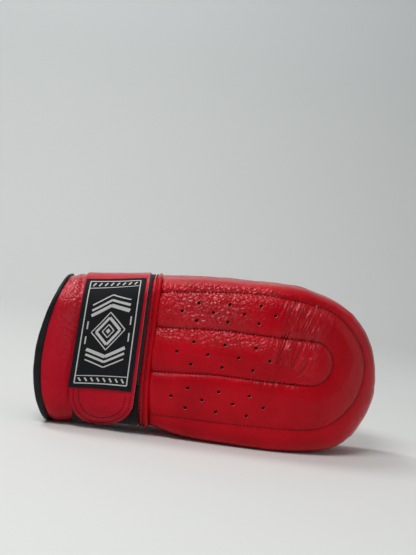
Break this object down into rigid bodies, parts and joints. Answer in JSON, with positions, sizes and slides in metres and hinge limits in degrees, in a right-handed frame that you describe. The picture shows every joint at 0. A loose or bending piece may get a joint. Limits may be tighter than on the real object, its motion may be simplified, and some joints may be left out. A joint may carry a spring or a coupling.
{
  "type": "boxing bag mitt",
  "caption": "Right-hand padded leather bag mitt with a quilted, vented back, mesh palm, grip bar, separate thumb sheath and a wide hook-and-loop wrist strap.",
  "frame": {"origin": "centre of the overall box on the floor; the mitt stands on its little-finger edge", "axes": "+X from the wrist hem to the fingertips, +Y out of the palm, -Y out of the back of the hand, +Z to the thumb side"},
  "size_m": [0.278, 0.093, 0.132],
  "materials": {
    "red_leather": "glossy grained",
    "raw_edge_leather": "glossy, pale cut edges",
    "black_binding": "smooth satin",
    "dense_foam": "closed-cell padding",
    "soft_foam": "open-cell padding",
    "spacer_mesh": "matt open mesh",
    "black_lining": "matt woven",
    "tape": "matt hook-and-loop",
    "patch": "satin woven, white motifs"
  },
  "bodies": {
    "glove": {"back_leather": "red_leather", "knuckle_foam": "dense_foam", "inner_foam": "soft_foam", "hand_lining": "black_lining", "fingertip_leather": "red_leather", "palm_mesh": "spacer_mesh", "thumb_gusset": "raw_edge_leather", "palm_heel_leather": "raw_edge_leather", "grip_bar_cover": "raw_edge_leather", "grip_bar_core": "dense_foam", "cuff_leather": "red_leather", "cuff_foam": "soft_foam", "cuff_lining": "black_lining", "hem_binding": "black_binding", "wrist_seam_band": "red_leather", "loop_tape": "tape", "strap_root_leather": "raw_edge_leather", "strap_root_webbing": "tape"},
    "strap": {"strap_leather": "raw_edge_leather", "strap_webbing": "tape", "strap_patch": "patch"},
    "pull_tab": {"tab_leather": "raw_edge_leather", "tab_hook_tape": "tape"},
    "thumb": {"thumb_leather": "red_leather", "thumb_foam": "dense_foam", "thumb_lining": "black_lining"}
  },
  "joints": [
    {"name": "strap_open", "type": "hinge", "parent": "glove", "child": "strap", "pos_m": [-0.089, -0.01312, 0.12945], "axis": [-0.9954, 0, -0.0953], "range_deg": [0, 140]},
    {"name": "tab_peel", "type": "hinge", "parent": "strap", "child": "pull_tab", "pos_m": [-0.089, -0.04565, 0.032], "axis": [-1, 0, 0], "range_deg": [0, 70]},
    {"name": "thumb_lift", "type": "hinge", "parent": "glove", "child": "thumb", "pos_m": [-0.024, 0.01948, 0.122], "axis": [1, 0, 0], "range_deg": [0, 50]}
  ]
}
